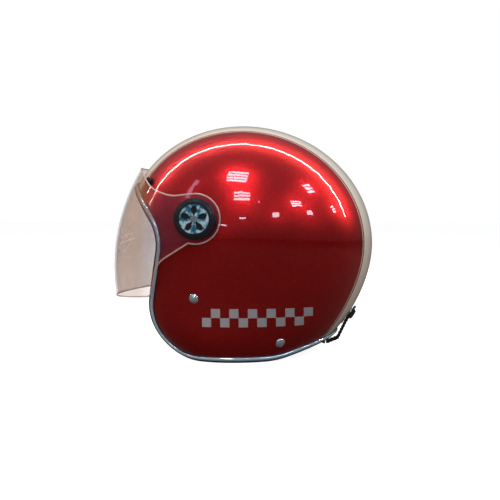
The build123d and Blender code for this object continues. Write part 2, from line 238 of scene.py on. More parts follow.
class Look:
    """A node material: a Principled shader and short calls that add nodes in front of it."""

    def __init__(self, name, **values):
        self.material = bpy.data.materials.new(name)
        self.material.use_nodes = True
        self.nodes = self.material.node_tree.nodes
        self.links = self.material.node_tree.links
        self.shader = self.nodes["Principled BSDF"]
        for socket, value in values.items():
            self.shader.inputs[socket.replace("_", " ")].default_value = value
        self.place = self.nodes.new("ShaderNodeTexCoord").outputs["Object"]

    def link(self, source, target):
        """Joins two sockets."""
        self.links.new(source, target)

    def value(self, operation, first, second=None, third=None, clamp=False):
        """A Math node on sockets or numbers."""
        node = self.nodes.new("ShaderNodeMath")
        node.operation = operation
        node.use_clamp = clamp
        for socket, source in zip(node.inputs, (first, second, third)):
            if source is None:
                continue
            if isinstance(source, (int, float)):
                socket.default_value = source
            else:
                self.link(source, socket)
        return node.outputs[0]

    def noise(self, scale, detail=3.0, stretch=None):
        """A noise pattern over the object's own place."""
        node = self.nodes.new("ShaderNodeTexNoise")
        node.inputs["Scale"].default_value = scale
        node.inputs["Detail"].default_value = detail
        source = self.place
        if stretch:
            mapping = self.nodes.new("ShaderNodeMapping")
            mapping.inputs["Scale"].default_value = stretch
            self.link(source, mapping.inputs["Vector"])
            source = mapping.outputs[0]
        self.link(source, node.inputs["Vector"])
        return node.outputs["Fac"]

    def cells(self, scale, output="Distance", feature="F1"):
        """A cell pattern."""
        node = self.nodes.new("ShaderNodeTexVoronoi")
        node.feature = feature
        node.inputs["Scale"].default_value = scale
        self.link(self.place, node.inputs["Vector"])
        return node.outputs[output]

    def blend(self, factor, first, second):
        """Mixes two colours, each a socket or a tuple."""
        node = self.nodes.new("ShaderNodeMix")
        node.data_type = "RGBA"
        for index, source in ((0, factor), (6, first), (7, second)):
            socket = node.inputs[index]
            if isinstance(source, (int, float)):
                socket.default_value = source
            elif isinstance(source, tuple):
                socket.default_value = (*source, 1.0) if len(source) == 3 else source
            else:
                self.link(source, socket)
        return node.outputs[2]

    def axes(self):
        """The object's own X, Y and Z."""
        node = self.nodes.new("ShaderNodeSeparateXYZ")
        self.link(self.place, node.inputs[0])
        return node.outputs

    def bump(self, height, strength, distance=0.001):
        """Raises the surface by a height pattern."""
        node = self.nodes.new("ShaderNodeBump")
        node.inputs["Strength"].default_value = strength
        node.inputs["Distance"].default_value = distance
        self.link(height, node.inputs["Height"])
        previous = self.shader.inputs["Normal"].links
        if previous:
            self.link(previous[0].from_socket, node.inputs["Normal"])
        self.link(node.outputs[0], self.shader.inputs["Normal"])

    def colour(self, source):
        """Drives the base colour."""
        self.link(source, self.shader.inputs["Base Color"])

    def roughness(self, source, low, high):
        """Drives the roughness between two values by a pattern."""
        node = self.nodes.new("ShaderNodeMapRange")
        node.inputs["To Min"].default_value = low
        node.inputs["To Max"].default_value = high
        self.link(source, node.inputs["Value"])
        self.link(node.outputs[0], self.shader.inputs["Roughness"])


# ---- Materials -----------------------------------------------------------------------

# Lengths in metres, colours linear. The band and the scuffs are placed from the head's centre
# and from the frame's origin.
RED = (0.62, 0.006, 0.008)
DEEP_RED = (0.30, 0.002, 0.004)
CREAM = (0.86, 0.78, 0.66)
PINSTRIPE = (0.10, 0.006, 0.006)
SILVER = (0.36, 0.34, 0.34)
METAL_SHARE = 0.92
FLAKE_SCALE = 1400.0
STRIPE_HALF = 0.0450
PIN_WIDTH = 0.0010
FINE_LINE = 0.0014
BAND_FRONT = -0.047
BAND_REAR = 0.066
BAND_TOP = -0.0565
BAND_HEIGHT = 0.019
BAND_FROM_MIDDLE = 0.05
CHECK_ROWS = 2
CHECK_COLUMNS = 12
KEEPS_COUNT_POSITIVE = 40.0

EAR_TINT = (0.26, 0.07, 0.12)
SCRATCH_WHITE = (0.95, 0.92, 0.90)
TINT_START = -0.080
TINT_FADE = 0.026
SCUFF_X, SCUFF_Y, SCUFF_Z = -0.127, -0.070, 0.123
SCUFF_REACH = 0.024
# Each set of scratches: lean in radians, spacing, line width, and a seed of its own.
SCRATCH_SETS = ((0.35, 0.0060, 0.00020, 3.0), (0.95, 0.0080, 0.00018, 11.0), (-0.65, 0.0080, 0.00018, 23.0))

STAR_FACE_Y = 0.1234
STAR_FACE_DEPTH = 0.0004


def check_band(look, x, side, z):
    """1 on every other square of the checked band on each side of the shell, 0 elsewhere."""
    length = BAND_REAR - BAND_FRONT
    along = look.value("SUBTRACT", x, HEAD_CENTRE.x + BAND_FRONT)
    down = look.value("SUBTRACT", HEAD_CENTRE.z + BAND_TOP, z)
    column = look.value("FLOOR", look.value("DIVIDE", along, length / CHECK_COLUMNS))
    row = look.value("FLOOR", look.value("DIVIDE", down, BAND_HEIGHT / CHECK_ROWS))
    count = look.value("ADD", look.value("ADD", column, row), KEEPS_COUNT_POSITIVE)
    checks = look.value("MODULO", count, 2.0)
    for limit in (
        look.value("GREATER_THAN", along, 0.0), look.value("LESS_THAN", along, length),
        look.value("GREATER_THAN", down, 0.0), look.value("LESS_THAN", down, BAND_HEIGHT),
        look.value("GREATER_THAN", side, BAND_FROM_MIDDLE),
    ):
        checks = look.value("MULTIPLY", checks, limit)
    return checks


def shell_paint():
    """Candy red metallic lacquer, a cream centre stripe with pinstripes, and a checked band."""
    look = Look("shell_paint", Metallic=METAL_SHARE, Roughness=0.42, Coat_Weight=1.0, Coat_Roughness=0.015)
    x, y, z = look.axes()
    side = look.value("ABSOLUTE", y)

    drift = look.noise(9.0, 4.0)
    flakes = look.cells(FLAKE_SCALE, "Color")
    red = look.blend(look.value("MULTIPLY", drift, 0.5), RED, DEEP_RED)
    flake_level = look.nodes.new("ShaderNodeSeparateColor")
    look.link(flakes, flake_level.inputs[0])
    sparkle = look.value("GREATER_THAN", flake_level.outputs[0], 0.9)
    red = look.blend(look.value("MULTIPLY", sparkle, 0.35), red, (0.75, 0.05, 0.03))

    in_stripe = look.value("LESS_THAN", side, STRIPE_HALF)
    in_pin = look.value("COMPARE", side, STRIPE_HALF + PIN_WIDTH / 2, PIN_WIDTH / 2)
    line_middle = STRIPE_HALF + 2.2 * PIN_WIDTH + FINE_LINE / 2
    in_line = look.value("COMPARE", side, line_middle, FINE_LINE / 2)
    cream = look.blend(look.noise(14.0, 5.0), CREAM, (0.80, 0.70, 0.56))
    painted = look.blend(in_stripe, red, cream)
    painted = look.blend(in_pin, painted, PINSTRIPE)
    painted = look.blend(in_line, painted, (0.80, 0.55, 0.42))

    checks = check_band(look, x, side, z)
    look.colour(look.blend(checks, painted, SILVER))
    flat = look.value("MAXIMUM", look.value("MAXIMUM", in_stripe, in_line), checks)
    metallic = look.value("MULTIPLY_ADD", flat, -METAL_SHARE, METAL_SHARE)
    look.link(metallic, look.shader.inputs["Metallic"])

    look.bump(flakes, 0.02, 0.0002)
    look.roughness(look.noise(30.0, 6.0), 0.26, 0.38)
    return look.material


def chrome(name, tint=(0.68, 0.84, 0.90), metallic=0.8):
    """Bright chrome whose pale blue-teal base colour is a painted reflection of the room, with faint
    smudges and fine polishing marks.
    """
    look = Look(name, Metallic=metallic, Roughness=0.06)
    smudge = look.noise(60.0, 5.0)
    # The pale blue-teal base colour is a painted reflection of the room; the smudge pattern darkens it in
    # places.
    look.colour(look.blend(smudge, tint, (tint[0] * 0.72, tint[1] * 0.78, tint[2] * 0.84)))
    look.roughness(look.noise(180.0, 4.0), 0.03, 0.14)
    look.bump(look.noise(900.0, 2.0), 0.03, 0.0002)
    return look.material


def rubber(name):
    """Soft black rubber: dull, with fine grain and paler wear."""
    look = Look(name, Roughness=0.6)
    look.colour(look.blend(look.noise(45.0, 5.0), (0.010, 0.010, 0.011), (0.035, 0.034, 0.034)))
    look.roughness(look.noise(120.0, 4.0), 0.45, 0.75)
    look.bump(look.noise(1500.0, 2.0), 0.12, 0.0003)
    return look.material


def plastic(name, gloss=0.16, dark=(0.006, 0.007, 0.009), pale=(0.022, 0.024, 0.028)):
    """Moulded plastic, black unless told otherwise, with a light satin texture and faint scuffs."""
    look = Look(name, Roughness=gloss)
    look.colour(look.blend(look.noise(70.0, 4.0), dark, pale))
    look.roughness(look.noise(200.0, 5.0), gloss * 0.7, gloss * 1.8)
    look.bump(look.noise(1800.0, 2.0), 0.05, 0.0002)
    return look.material


def scratch_lines(look, lean, spacing, width, seed):
    """Straight fine scratches that lean by the given angle: at most one in each strip of the patch."""
    x, y, z = look.axes()
    x = look.value("SUBTRACT", x, SCUFF_X)
    z = look.value("SUBTRACT", z, SCUFF_Z)
    cosine, sine = math.cos(lean), math.sin(lean)
    across = look.value("SUBTRACT", look.value("MULTIPLY", z, cosine), look.value("MULTIPLY", x, sine))
    along = look.value("ADD", look.value("MULTIPLY", x, cosine), look.value("MULTIPLY", z, sine))
    strip = look.value("DIVIDE", across, spacing)
    white_noise = look.nodes.new("ShaderNodeTexWhiteNoise")
    white_noise.noise_dimensions = "1D"
    look.link(look.value("ADD", look.value("FLOOR", strip), seed), white_noise.inputs["W"])
    chance = white_noise.outputs["Value"]
    line_place = look.value("MULTIPLY_ADD", chance, 0.6, 0.2)
    line_middle = look.value("MULTIPLY_ADD", chance, SCUFF_REACH, -SCUFF_REACH / 2)
    scratches = look.value("COMPARE", look.value("FRACT", strip), line_place, width / spacing)
    for limit in (
        look.value("COMPARE", along, line_middle, SCUFF_REACH / 2),
        look.value("COMPARE", across, 0.0, SCUFF_REACH / 2),
        look.value("COMPARE", y, SCUFF_Y, SCUFF_REACH),
    ):
        scratches = look.value("MULTIPLY", scratches, limit)
    return scratches


def visor_sheet():
    """Clear plastic, deeper tan over the face than over the ears, with haze and a scuffed patch."""
    look = Look("visor_sheet", Roughness=0.1, IOR=1.49, Coat_Weight=1.0, Coat_Roughness=0.02)
    haze = look.noise(22.0, 5.0)
    scratches = 0.0
    for scratch_set in SCRATCH_SETS:
        scratches = look.value("MAXIMUM", scratches, scratch_lines(look, *scratch_set))
    x = look.axes()[0]
    face = look.value("MULTIPLY_ADD", x, -1.0 / TINT_FADE, TINT_START / TINT_FADE, clamp=True)
    tint = look.blend(haze, (0.52, 0.23, 0.06), (0.62, 0.32, 0.12))
    tint = look.blend(face, EAR_TINT, tint)
    look.colour(look.blend(scratches, tint, SCRATCH_WHITE))
    veil = look.value("MULTIPLY_ADD", haze, 0.08, look.value("MULTIPLY_ADD", face, 0.20, 0.07))
    look.link(look.value("MULTIPLY_ADD", scratches, 0.32, veil), look.shader.inputs["Alpha"])
    look.roughness(look.noise(35.0, 5.0), 0.05, 0.15)
    return look.material


def star_plate():
    """Chromed star plate: painted reflections in dark teal and pale blue patches on the raised face, black
    paint in the cut-outs.
    """
    look = Look("star_plate", Metallic=0.45, Roughness=0.2)
    depth = look.value("ABSOLUTE", look.axes()[1])
    raised = look.value("GREATER_THAN", depth, STAR_FACE_Y - STAR_FACE_DEPTH)
    # The dark teal and pale blue patches on the raised face are painted reflections of the room in the
    # chrome.
    patches = look.value("MULTIPLY_ADD", look.noise(170.0, 1.0), 7.0, -3.1)
    painted_reflection_colour = look.blend(patches, (0.02, 0.17, 0.24), (0.62, 0.86, 0.94))
    look.colour(look.blend(raised, (0.012, 0.013, 0.016), painted_reflection_colour))
    look.link(look.value("MULTIPLY", raised, 0.45), look.shader.inputs["Metallic"])
    look.roughness(look.noise(240.0, 4.0, stretch=(1.0, 1.0, 6.0)), 0.12, 0.34)
    return look.material


def woven(name, dark=(0.012, 0.012, 0.013), pale=(0.040, 0.040, 0.043), scale=900.0):
    """Black woven cloth: crossing threads, slight fade and a soft sheen."""
    look = Look(name, Roughness=0.85, Sheen_Weight=0.35, Sheen_Roughness=0.45)
    x, y, z = look.axes()
    warp = look.value("SINE", look.value("MULTIPLY", look.value("ADD", x, y), scale * 2.2))
    weft = look.value("SINE", look.value("MULTIPLY", look.value("SUBTRACT", z, y), scale * 2.2))
    weave = look.value("MULTIPLY", warp, weft)
    fade = look.noise(18.0, 5.0)
    look.colour(look.blend(look.value("ADD", look.value("MULTIPLY", weave, 0.2), fade), dark, pale))
    look.bump(weave, 0.35, 0.0004)
    look.bump(look.noise(700.0, 3.0), 0.2, 0.0004)
    return look.material


def leather(name):
    """Black grained leather with creases and rubbed, shinier patches."""
    look = Look(name, Roughness=0.5)
    look.colour(look.blend(look.noise(40.0, 5.0), (0.008, 0.008, 0.008), (0.032, 0.030, 0.028)))
    look.roughness(look.noise(60.0, 4.0), 0.32, 0.62)
    look.bump(look.cells(900.0, "Distance", "SMOOTH_F1"), 0.35, 0.0004)
    return look.material


def bead_foam(name):
    """Grey-black expanded foam: packed beads with darker joints."""
    look = Look(name, Roughness=0.8)
    beads = look.cells(320.0, "Distance")
    look.colour(look.blend(beads, (0.075, 0.075, 0.08), (0.02, 0.02, 0.022)))
    look.bump(beads, 0.5, 0.0008)
    look.roughness(look.noise(90.0, 3.0), 0.7, 0.9)
    return look.material


def steel(name):
    """Plated steel with fine brushing."""
    look = Look(name, Metallic=1.0, Roughness=0.3)
    look.colour(look.blend(look.noise(80.0, 4.0), (0.50, 0.50, 0.51), (0.36, 0.36, 0.37)))
    look.roughness(look.noise(60.0, 4.0, stretch=(1.0, 12.0, 1.0)), 0.2, 0.45)
    return look.material


LOOKS = {
    "shell_paint": shell_paint(),
    # Both chrome looks carry a pale blue painted reflection in their base colour.
    "chrome_trim": chrome("chrome_trim", (0.66, 0.84, 0.92), 0.5),
    "chrome_fittings": chrome("chrome_fittings"),
    "black_rubber": rubber("black_rubber"),
    "black_plastic": plastic("black_plastic"),
    "red_plastic": plastic("red_plastic", 0.22, (0.42, 0.008, 0.008), (0.58, 0.016, 0.012)),
    "visor_sheet": visor_sheet(),
    "lining_fabric": woven("lining_fabric"),
    "webbing": woven("webbing", scale=1400.0),
    "black_leather": leather("black_leather"),
    "eps_foam": bead_foam("eps_foam"),
    "steel": steel("steel"),
}

STAR = star_plate()
for row in frame["record"]["subparts"]:
    node = frame["nodes"][row["node"]]
    is_star = row["node"].startswith("pivot_star")
    node.data.materials.clear()
    node.data.materials.append(STAR if is_star else LOOKS[row["material_slot"]])


# ---- Edge trim -----------------------------------------------------------------------

def rim_stations():
    """The rim line with its directions: point, away from the shell along the dome, out of the dome."""
    loop = rim_loop(2.6)
    stations = []
    for i, point in enumerate(loop):
        along = (loop[(i + 1) % len(loop)] - loop[i - 1]).normalized()
        out = dome_normal(point)
        across = along.cross(out).normalized()
        out = across.cross(along).normalized()
        stations.append((point, across, out))
    return stations


# Both profiles are (away from the shell, out of the dome) in millimetres, from the rim line.
CHROME_BEAD = [(2.4 + 2.0 * math.cos(a), 1.0 + 1.6 * math.sin(a)) for a in np.linspace(0, math.pi, 11)]
CHROME_BEAD += [(0.4, 0.2), (4.4, 0.2)]
RUBBER_CHANNEL = [
    (-0.3, -0.3), (-0.2, 0.7), (0.3, 1.0), (4.2, 1.0), (4.5, 1.8), (5.1, 2.2), (5.8, 2.1), (6.3, 1.5),
    (6.5, 0.4), (6.5, -3.4), (6.2, -4.6), (5.4, -5.2), (0.4, -5.2), (-0.3, -4.9), (-0.5, -4.2),
]


def add_edge_trim():
    """The chrome bead and the rubber channel, both carried round the whole rim."""
    stations = rim_stations()
    if stations[0][1].x > 0:
        stations = [(point, -across, out) for point, across, out in stations]
    for name, profile, slot_name, node in (
        ("chrome_bead", CHROME_BEAD, "chrome_trim", "edge_chrome"),
        ("rim_rubber", RUBBER_CHANNEL, "black_rubber", "edge_rubber"),
    ):
        dress(sweep_loop(name, stations, profile), "helmet", LOOKS[slot_name], slot_name, node)


add_edge_trim()


# ---- Mesh tools for sewn pieces --------------------------------------------------------

def frames_along(points, closed):
    """The direction of travel at each point of a line."""
    last = len(points) - 1
    directions = []
    for i, point in enumerate(points):
        ahead = points[(i + 1) % len(points)] if closed else points[min(i + 1, last)]
        behind = points[i - 1] if closed else points[max(i - 1, 0)]
        directions.append((ahead - behind).normalized())
    return directions


def tube(name, points, radius, closed=False, sides=8):
    """A round cord of frame-metre points; its radius is in metres."""
    vertices = []
    faces = []
    side = Vector((0.3, 0.5, 0.8)).normalized()
    for point, along in zip(points, frames_along(points, closed)):
        side = (side - along * side.dot(along)).normalized()
        other = along.cross(side)
        for j in range(sides):
            turn = 2 * math.pi * j / sides
            vertices.append(point + (side * math.cos(turn) + other * math.sin(turn)) * radius)
    count = len(points)
    for i in range(count if closed else count - 1):
        for j in range(sides):
            k = (j + 1) % sides
            n = (i + 1) % count
            faces.append((i * sides + j, i * sides + k, n * sides + k, n * sides + j))
    if not closed:
        faces.append(tuple(range(sides)))
        faces.append(tuple((count - 1) * sides + j for j in reversed(range(sides))))
    piece = add_mesh(name, vertices, faces)
    face_outwards(piece)
    return piece


def stitches(name, line, normals, length=0.0026, gap=0.0012, radius=0.00032, lift=0.0001):
    """Thread dashes along a line in frame metres, each a thin spindle that dips at its ends."""
    lengths = [0.0]
    for start, end in zip(line, line[1:]):
        lengths.append(lengths[-1] + (end - start).length)
    ring = np.array([tuple(p) for p in line])
    ups = np.array([tuple(n) for n in normals])
    vertices = []
    faces = []
    sides = 6
    at_length = 0.0
    while at_length + length < lengths[-1]:
        base = len(vertices)
        for i in range(5):
            share = i / 4
            here = at_length + length * share
            point = Vector([np.interp(here, lengths, ring[:, k]) for k in range(3)])
            up = Vector([np.interp(here, lengths, ups[:, k]) for k in range(3)]).normalized()
            ahead = Vector([np.interp(here + 0.0005, lengths, ring[:, k]) for k in range(3)])
            behind = Vector([np.interp(here - 0.0005, lengths, ring[:, k]) for k in range(3)])
            along = (ahead - behind).normalized()
            side = along.cross(up).normalized()
            bulge = math.sin(math.pi * (0.12 + 0.76 * share))
            middle = point + up * (lift + radius * (1.6 * bulge - 0.8))
            for j in range(sides):
                turn = 2 * math.pi * j / sides
                vertices.append(middle + (side * math.cos(turn) + up * math.sin(turn)) * radius * bulge)
        for i in range(4):
            for j in range(sides):
                k = (j + 1) % sides
                faces.append((base + i * sides + j, base + i * sides + k,
                              base + (i + 1) * sides + k, base + (i + 1) * sides + j))
        faces.append(tuple(base + j for j in range(sides)))
        faces.append(tuple(base + 4 * sides + j for j in reversed(range(sides))))
        at_length += length + gap
    piece = add_mesh(name, vertices, faces)
    face_outwards(piece)
    return piece


def band(name, middles, ups, width, thickness, ribs=0, ribs_along=0.0, round_end=False):
    """A flat strap through frame-metre points: soft edges, raised ribs, and a rounded tip if asked."""
    half = width / 2
    edge = thickness / 2
    profile = []
    columns = 27
    for i in range(columns):
        across = -half + edge * 0.6 + (width - edge * 1.2) * i / (columns - 1)
        relief = 1 + (0.10 * math.cos(2 * math.pi * ribs * across / width) if ribs else 0.0)
        shoulder = min(1.0, 0.72 + 0.28 * min(half - abs(across), edge) / edge)
        profile.append((across, edge * relief * shoulder))
    outline = profile + [(half, edge * 0.35), (half, -edge * 0.35)]
    outline += [(a, -h) for a, h in reversed(profile)] + [(-half, -edge * 0.35), (-half, edge * 0.35)]
    lengths = [0.0]
    for start, end in zip(middles, middles[1:]):
        lengths.append(lengths[-1] + (end - start).length)
    vertices = []
    faces = []
    for i, (point, along, up) in enumerate(zip(middles, frames_along(middles, False), ups)):
        side = along.cross(up).normalized()
        out = side.cross(along).normalized()
        squeeze = 1.0
        left = lengths[-1] - lengths[i]
        if round_end and left < half:
            squeeze = max(math.sqrt(max(1 - ((half - left) / half) ** 2, 0.0)), 0.08)
        swell = 1 + ribs_along * (1 if i % 2 else -1)
        for across, high in outline:
            vertices.append(point + side * across * squeeze + out * high * swell)
    size = len(outline)
    for i in range(len(middles) - 1):
        for j in range(size):
            k = (j + 1) % size
            faces.append((i * size + j, i * size + k, (i + 1) * size + k, (i + 1) * size + j))
    faces.append(tuple(range(size)))
    faces.append(tuple((len(middles) - 1) * size + j for j in reversed(range(size))))
    piece = add_mesh(name, vertices, faces)
    face_outwards(piece)
    return piece


def spaced(points, spacing):
    """A line of points, moved along itself until they are evenly spaced."""
    ring = np.array([tuple(p) for p in points])
    lengths = np.concatenate([[0], np.cumsum(np.linalg.norm(np.diff(ring, axis=0), axis=1))])
    wanted = np.linspace(0, lengths[-1], max(int(lengths[-1] / spacing), 2) + 1)
    return [Vector([np.interp(w, lengths, ring[:, k]) for k in range(ring.shape[1])]) for w in wanted]


def settle(piece):
    """Makes what a piece's modifiers do to it permanent."""
    graph = bpy.context.evaluated_depsgraph_get()
    mesh = bpy.data.meshes.new_from_object(piece.evaluated_get(graph))
    piece.modifiers.clear()
    piece.data = mesh


def remeshed_copy(node_name, name, voxel):
    """A free copy of a CAD solid with an even skin of small faces."""
    piece = bpy.data.objects.new(name, frame["nodes"][node_name].data.copy())
    bpy.context.scene.collection.objects.link(piece)
    remesh = piece.modifiers.new("remesh", "REMESH")
    remesh.mode = "VOXEL"
    remesh.voxel_size = voxel
    settle(piece)
    return piece


def inflate(piece, cap):
    """Lets a piece swell like a stuffed cover, no point moving more than cap from its start."""
    start = [vertex.co.copy() for vertex in piece.data.vertices]
    cloth = piece.modifiers.new("cloth", "CLOTH")
    cloth.settings.use_pressure = True
    cloth.settings.uniform_pressure_force = PRESSURE
    cloth.settings.effector_weights.gravity = 0.0
    cloth.point_cache.frame_start = 1
    cloth.point_cache.frame_end = SIMULATED_FRAMES
    for number in range(1, SIMULATED_FRAMES + 1):
        bpy.context.scene.frame_set(number)
    settle(piece)
    bpy.context.scene.frame_set(1)
    for vertex, place in zip(piece.data.vertices, start):
        move = vertex.co - place
        if move.length > cap:
            vertex.co = place + move.normalized() * cap


def puffed(node_name, name, shrink, cap):
    """A sewn, stuffed version of a plain CAD pad: rounded, then swollen by a cloth simulation."""
    piece = remeshed_copy(node_name, name, PAD_VOXEL)
    shape = bmesh.new()
    shape.from_mesh(piece.data)
    for _ in range(4):
        bmesh.ops.smooth_vert(shape, verts=shape.verts, factor=0.5,
                              use_axis_x=True, use_axis_y=True, use_axis_z=True)
    shape.normal_update()
    for vertex in shape.verts:
        vertex.co -= vertex.normal * shrink
    shape.to_mesh(piece.data)
    shape.free()
    inflate(piece, cap)
    subdivision = piece.modifiers.new("subdivision", "SUBSURF")
    subdivision.levels = subdivision.render_levels = 1
    settle(piece)
    piece.data.shade_smooth()
    return piece


def sink_along(piece, line, reach, depth):
    """Presses a seam groove into a piece along a line of points."""
    tree = KDTree(len(line))
    for i, point in enumerate(line):
        tree.insert(point, i)
    tree.balance()
    normals = [vertex.normal.copy() for vertex in piece.data.vertices]
    for vertex, normal in zip(piece.data.vertices, normals):
        gap = tree.find(vertex.co)[2]
        if gap < reach:
            vertex.co -= normal * depth * (1 - gap / reach) ** 2


def cast_line(piece, origins, directions):
    """Where rays from the origins meet a piece, with the piece's normal there."""
    graph = bpy.context.evaluated_depsgraph_get()
    tree = BVHTree.FromObject(piece, graph)
    points = []
    normals = []
    for origin, direction in zip(origins, directions):
        hit, normal, _, _ = tree.ray_cast(origin, direction)
        if hit is not None:
            points.append(hit)
            normals.append(normal)
    return points, normals


# ---- Padding -------------------------------------------------------------------------

THREAD = woven("thread", (0.05, 0.05, 0.052), (0.10, 0.10, 0.10), scale=3000.0)

# The seam of a cheek pad's face is drawn in millimetres; the other lengths here are in metres.
CHEEK_SEAM = [(-40.0, -38.0), (-9.0, -38.0), (-9.0, -88.0), (-79.0, -88.0), (-71.0, -38.0), (-40.0, -38.0)]
CHEEK_MIDDLE = Vector((-41.0, -63.0))
CHEEK_CORNER = 12.0
CHEEK_STITCH_INSET = 5.0
PAD_VOXEL = 0.0042
PIPING_RADIUS = 0.0011
PIPING_SUNK = 0.0010

ROLL_SEAMS = 9
ROLL_TURN = 144.0
ROLL_LOW_Z = -97.0
ROLL_HEIGHT = 30.0

LINING_VOXEL = 0.0028
LINING_RADIUS = 0.085
DIAMOND = 0.026
DIAMOND_PUFF = 0.0030
DIAMOND_FULLNESS = 0.6
DIAMOND_SUNK_SHARE = 0.75

PRESSURE = 4.0
SIMULATED_FRAMES = 20


def add_cheek_pad(side, name):
    """A cheek pad with a piped seam round its face and a stitched line inside it."""
    pad = puffed(f"cheek_pad_{name}", f"padding_cheek_{name}", shrink=0.0012, cap=0.0026)
    outline = spaced(rounded_path(CHEEK_SEAM, [CHEEK_CORNER] * 4, 2.0), 1.5)

    def seam(inset, reach, depth):
        """Sinks a seam into the pad's face and gives the ray origins that find its line again."""
        points = [point + (CHEEK_MIDDLE - point).normalized() * inset for point in outline]
        origins = [at(point.x, 0, point.y) for point in points]
        line, normals = cast_line(pad, origins, [Vector((0, side, 0))] * len(origins))
        sink_along(pad, line, reach, depth)
        return origins, line, normals

    _, line, normals = seam(0.0, reach=0.006, depth=0.0022)
    path = [point - normal * PIPING_SUNK for point, normal in zip(line, normals)]
    cord = tube(f"piping_cheek_{name}", path, PIPING_RADIUS)
    dress(cord, "helmet", LOOKS["black_leather"], "black_leather")

    origins, _, _ = seam(CHEEK_STITCH_INSET, reach=0.004, depth=0.0010)
    line, normals = cast_line(pad, origins, [Vector((0, side, 0))] * len(origins))
    thread = stitches(f"stitch_cheek_{name}", line, normals)
    dress(thread, "helmet", THREAD, "lining_fabric")

    dress(pad, "helmet", LOOKS["lining_fabric"], "lining_fabric", f"cheek_pad_{name}")


def add_neck_roll():
    """The roll round the nape, drawn in by upright seams."""
    roll = puffed("neck_roll", "padding_neck", shrink=0.0010, cap=0.0024)
    heights = [ROLL_LOW_Z + ROLL_HEIGHT * j / 24 for j in range(25)]
    for i in range(ROLL_SEAMS):
        turn = math.radians(-ROLL_TURN / 2 + ROLL_TURN * i / (ROLL_SEAMS - 1))
        direction = Vector((math.cos(turn), math.sin(turn), 0))
        origins = [at(-5.0, 0, z) for z in heights]
        line, normals = cast_line(roll, origins, [direction] * len(origins))
        sink_along(roll, line, 0.009, 0.0032)
    dress(roll, "helmet", LOOKS["lining_fabric"], "lining_fabric", "neck_roll")


def add_comfort_lining():
    """The fabric lining of the head cavity, quilted in diamonds."""
    lining = remeshed_copy("comfort_lining", "padding_lining", LINING_VOXEL)
    pole = at(DOME_X, 0, DOME_Z)
    for vertex in lining.data.vertices:
        place = vertex.co - pole
        along, up = dome_axes(place.x, place.z)
        faces_the_head = vertex.normal.dot(place) < 0
        if faces_the_head:
            round_dome = math.atan2(up, place.y) * LINING_RADIUS
            first = math.sin(math.pi * (along + round_dome) / DIAMOND)
            second = math.sin(math.pi * (along - round_dome) / DIAMOND)
            height = min(abs(first), abs(second)) ** DIAMOND_FULLNESS
            vertex.co += vertex.normal * DIAMOND_PUFF * (height - DIAMOND_SUNK_SHARE)
    lining.data.shade_smooth()
    dress(lining, "helmet", LOOKS["lining_fabric"], "lining_fabric", "comfort_lining")


# ---- Chin strap ----------------------------------------------------------------------

STRAP_X = -12.0
STRAP_WIDTH = 20.0
STRAP_THICKNESS = 1.4
STRAP_INSET = 7.2
STRAP_TOP_Z = -50.0
STRAP_LOW_Z = -105.5
TONGUE_STRAP_END = 25.3
HOUSING_STRAP_END = 13.8
STITCH_ASIDE = 7.0
# Points of the strap left unsewn at the buckle, so that the tongue slides over plain tape.
STITCH_STOP = 18

RIVETS = (Vector((-55.6, -46.7)), Vector((32.5, -93.5)))
ANCHOR_WIDTH = 0.0185
ANCHOR_THICKNESS = 0.0013
ANCHOR_INSET = 5.25


def add_chin_strap(side, name, end_y):
    """Half of the chin strap: woven tape down the shell, under the cheek pad and up to the buckle."""
    wall = STRAP_INSET + STRAP_THICKNESS / 2
    corners = [
        (dome_side(wall, STRAP_X, -84.0), -84.0), (dome_side(wall, STRAP_X, -99.0) - 2.0, STRAP_LOW_Z),
        (62.0, STRAP_LOW_Z), (52.0, STRAP_TOP_Z), (end_y, STRAP_TOP_Z),
    ]
    route = spaced(rounded_path(corners, [5.0, 8.0, 14.0], 1.0), 0.9)
    middles = [at(STRAP_X, side * p.x, p.y) for p in route]
    ups = [Vector((1, 0, 0)).cross(along) for along in frames_along(middles, False)]
    tape = band(f"strap_{name}", middles, ups, STRAP_WIDTH * MM, STRAP_THICKNESS * MM, 9, 0.05)
    dress(tape, "helmet", LOOKS["webbing"], "webbing", f"chin_strap_{name}")
    for offset in (-STITCH_ASIDE, STITCH_ASIDE):
        line = [m + Vector((offset * MM, 0, 0)) for m in middles[:-STITCH_STOP]]
        for face in (-1, 1):
            raised = [p + u * face * STRAP_THICKNESS / 2 * MM for p, u in zip(line, ups)]
            outs = [u * face for u in ups[:-STITCH_STOP]]
            thread = stitches(f"stitch_strap_{name}_{int(offset)}_{face}", raised, outs)
            dress(thread, "helmet", THREAD, "webbing")


def add_anchor(side, name):
    """The V of webbing inside the shell, from the two rivets down to the chin strap."""
    foot = Vector((STRAP_X, -99.0))
    for index, rivet in enumerate(RIVETS):
        start = rivet + (rivet - foot).normalized() * 9.0
        line = spaced([start, foot], 1.2)
        middles = []
        ups = []
        for point in line:
            y = side * dome_side(ANCHOR_INSET, point.x, point.y)
            middles.append(at(point.x, y, point.y))
            ups.append(dome_normal((point.x, y, point.y)))
        leg = band(f"anchor_{name}_{index}", middles, ups, ANCHOR_WIDTH, ANCHOR_THICKNESS, 8, 0.05)
        dress(leg, "helmet", LOOKS["webbing"], "webbing")
    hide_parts(f"strap_anchor_{name}")


# ---- Goggle strap retainer -----------------------------------------------------------

SNAP_Z = -71.5
FOLD = Vector((80.5, -105.6))
LEATHER_THICKNESS = 1.8
LEATHER_WIDTH = 18.0
LEATHER_SEAM = 6.6
FLAP_STANDOFF = 2.6
TAB_INSET = 7.0


def rear_place(inset, z):
    """The side view point of the dome's rear line at height z, and the direction out of it."""
    low, high = math.radians(100), math.radians(177)
    turn = math.radians(-90)
    for _ in range(40):
        middle = (low + high) / 2
        if dome_point(inset, middle, turn).z < z:
            low = middle
        else:
            high = middle
    here = dome_point(inset, low, turn)
    ahead = dome_point(inset, low + 0.01, turn) - here
    out = Vector((0, 1, 0)).cross(ahead).normalized()
    return Vector((here.x, here.z)), Vector((out.x, out.z))


